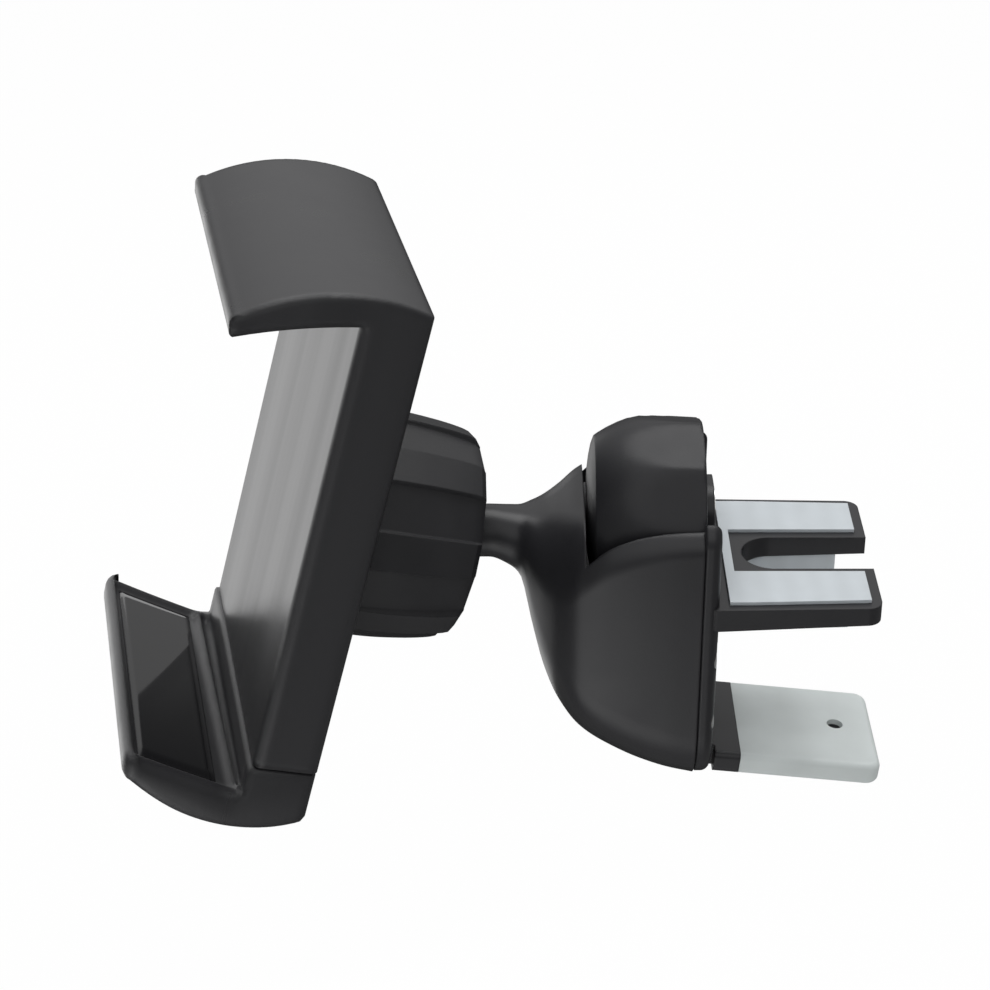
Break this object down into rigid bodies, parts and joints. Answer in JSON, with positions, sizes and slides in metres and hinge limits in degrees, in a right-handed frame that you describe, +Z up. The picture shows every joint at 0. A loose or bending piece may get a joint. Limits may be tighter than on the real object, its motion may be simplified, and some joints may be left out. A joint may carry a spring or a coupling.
{
  "type": "air vent phone holder",
  "caption": "Phone cradle with one sprung jaw on a ball joint, carried by a bell-shaped housing whose fork and sliding tab clamp a blade of a car's air vent.",
  "frame": {"origin": "the middle of the fork's upper rubber pad, level with its top, where the vent blade rests", "axes": "+X into the vent, +Y to the left as seen from behind the phone, +Z up, off the fork's pad"},
  "size_m": [0.0921, 0.0483, 0.0685],
  "materials": {
    "housing_black": "satin moulded",
    "knob_black": "satin moulded, flats round the edge",
    "collar_black": "satin moulded, ribbed",
    "cradle_black": "satin moulded, fine vertical grain",
    "pad_black": "smooth, glossy",
    "rubber_grey": "smooth silicone",
    "steel": "bright",
    "brass": "turned",
    "ball_liner": "smooth, low friction"
  },
  "bodies": {
    "holder": {"housing": "housing_black", "rear_fork": "housing_black", "fork_pad_upper": "rubber_grey", "fork_pad_lower": "rubber_grey", "rear_screws": "steel", "clamp_screw": "steel", "knob_washer": "knob_black"},
    "knob": {"knob": "knob_black", "knob_insert": "brass"},
    "vent_jaw": {"vent_jaw": "housing_black", "jaw_sleeve": "rubber_grey"},
    "swivel_carrier": {"ball_pad": "ball_liner"},
    "tilt_carrier": {"ball_cap": "ball_liner"},
    "cradle": {"cradle_frame": "cradle_black", "back_cover": "cradle_black", "upper_jaw_pad": "pad_black", "back_screws": "steel", "spring_left": "steel", "spring_right": "steel", "ball_socket": "collar_black", "socket_screws": "steel"},
    "collar": {"collar": "collar_black"},
    "lower_jaw": {"lower_jaw": "cradle_black", "lower_jaw_pad": "pad_black"}
  },
  "joints": [
    {"name": "knob_turn", "type": "hinge", "parent": "holder", "child": "knob", "pos_m": [-0.01, 0, 0.0057], "axis": [1, 0, 0], "range_deg": [0, 270]},
    {"name": "vent_jaw_slide", "type": "slide", "parent": "holder", "child": "vent_jaw", "axis": [0, 0, 1], "range_m": [0, 0.016]},
    {"name": "cradle_swivel", "type": "hinge", "parent": "holder", "child": "swivel_carrier", "pos_m": [-0.0344, 0, 0.0026], "axis": [0, 0, 1], "range_deg": [-30, 9.5]},
    {"name": "cradle_tilt", "type": "hinge", "parent": "swivel_carrier", "child": "tilt_carrier", "pos_m": [-0.0344, 0, 0.0026], "axis": [-0.1788, 0.9839, 0], "range_deg": [-34.5, 5]},
    {"name": "cradle_spin", "type": "hinge", "parent": "tilt_carrier", "child": "cradle", "pos_m": [-0.0344, 0, 0.0026], "axis": [0.951, 0.1728, -0.2563], "continuous": true},
    {"name": "collar_turn", "type": "hinge", "parent": "cradle", "child": "collar", "pos_m": [-0.0344, 0, 0.0026], "axis": [0.951, 0.1728, -0.2563], "range_deg": [0, 90]},
    {"name": "lower_jaw_slide", "type": "slide", "parent": "cradle", "child": "lower_jaw", "axis": [-0.2459, -0.0793, -0.966], "range_m": [0, 0.025], "stiffness_N_per_m": 150, "springref_m": -0.02, "deforming": ["spring_left", "spring_right"]}
  ]
}
